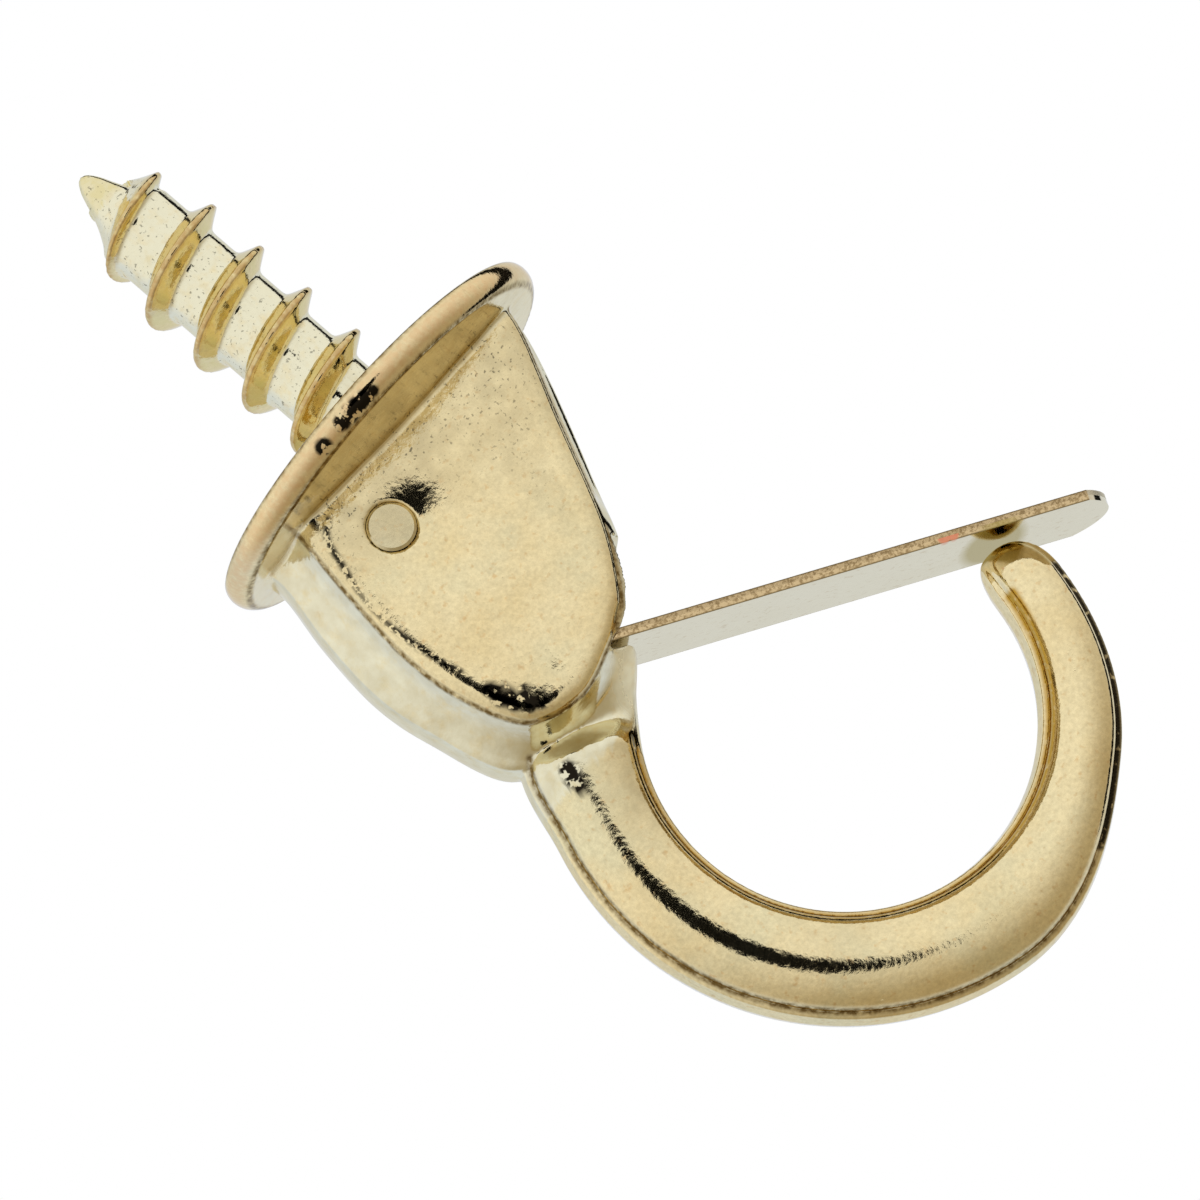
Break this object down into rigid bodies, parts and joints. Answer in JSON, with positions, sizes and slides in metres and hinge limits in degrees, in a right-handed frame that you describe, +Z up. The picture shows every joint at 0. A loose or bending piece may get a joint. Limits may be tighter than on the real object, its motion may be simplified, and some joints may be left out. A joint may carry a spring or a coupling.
{
  "type": "safety cup hook",
  "caption": "Cup hook for a shelf: a wood screw, a round flange and a shield-shaped head carry a hook that a sprung gate strip closes.",
  "frame": {"origin": "middle of the flange's seat, on the screw's axis", "axes": "+Z up the screw to its point, +X towards the mouth of the hook, Y along the rivet; the pictured face looks along -Y"},
  "size_m": [0.0244, 0.0164, 0.0461],
  "materials": {
    "hook_body": "bright plated casting",
    "gate_rivet": "bright plated",
    "spring_gate": "smooth plated strip"
  },
  "bodies": {
    "hook": {"hook_body": "hook_body", "gate_rivet": "gate_rivet"},
    "gate": {"spring_gate": "spring_gate"}
  },
  "joints": [
    {"name": "gate_swing", "type": "hinge", "parent": "hook", "child": "gate", "pos_m": [-0.00294, 0, -0.00362], "axis": [0, -1, 0], "range_deg": [0, 25], "stiffness_Nm_per_rad": 0.0015, "springref_deg": -22.92}
  ]
}
